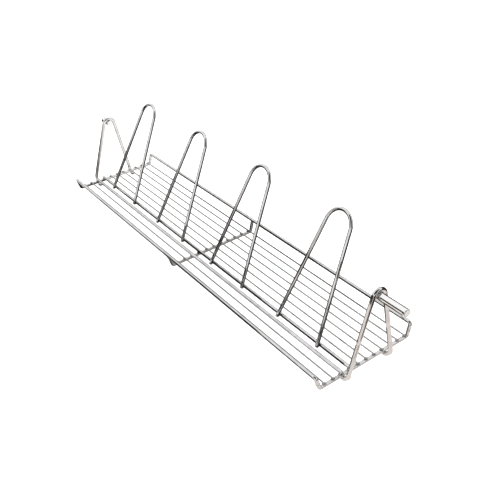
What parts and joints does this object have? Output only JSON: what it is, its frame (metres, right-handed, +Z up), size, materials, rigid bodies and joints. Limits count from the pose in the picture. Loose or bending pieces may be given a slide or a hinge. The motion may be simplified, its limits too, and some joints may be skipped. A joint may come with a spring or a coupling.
{
  "type": "dish drying rack",
  "caption": "Welded wire dish drying rack for an 800 mm cabinet, with leaning plate loops and a swinging hanger with a support peg hooked on each end.",
  "frame": {"origin": "middle of the whole rack's bounding box, on the plane where the undersides of the hanger hooks rest", "axes": "+X along the rack towards the end with the long peg, +Y from the front to the back, towards which the loops lean, +Z up"},
  "size_m": [0.8986, 0.1896, 0.194],
  "materials": {
    "frame_wire": "bright chrome-plated steel wire",
    "grid_wire": "bright chrome-plated thin steel wire",
    "loop_wire": "bright chrome-plated steel wire",
    "hanger_wire": "bright chrome-plated steel wire, faintly warm",
    "peg": "bright chrome-plated turned steel"
  },
  "bodies": {
    "tray": {"front_rim": "frame_wire", "rear_rim": "frame_wire", "left_end_wire": "frame_wire", "right_end_wire": "frame_wire", "middle_wire": "frame_wire", "grid_wire_1": "grid_wire", "grid_wire_2": "grid_wire", "grid_wire_3": "grid_wire", "grid_wire_4": "grid_wire", "grid_wire_5": "grid_wire", "grid_wire_6": "grid_wire", "grid_wire_7": "grid_wire", "grid_wire_8": "grid_wire", "grid_wire_9": "grid_wire", "front_rod": "frame_wire", "rear_rod": "frame_wire", "loop_1": "loop_wire", "loop_2": "loop_wire", "loop_3": "loop_wire", "loop_4": "loop_wire"},
    "left_hanger": {"left_hanger": "hanger_wire", "short_peg": "peg"},
    "right_hanger": {"right_hanger": "hanger_wire", "peg": "peg"}
  },
  "joints": [
    {"name": "left_hanger_swing", "type": "hinge", "parent": "tray", "child": "left_hanger", "pos_m": [-0.41375, 0, 0.0103], "axis": [0, -1, 0], "range_deg": [-35, 38]},
    {"name": "right_hanger_swing", "type": "hinge", "parent": "tray", "child": "right_hanger", "pos_m": [0.38625, 0, 0.0103], "axis": [0, 1, 0], "range_deg": [-35, 38]}
  ]
}
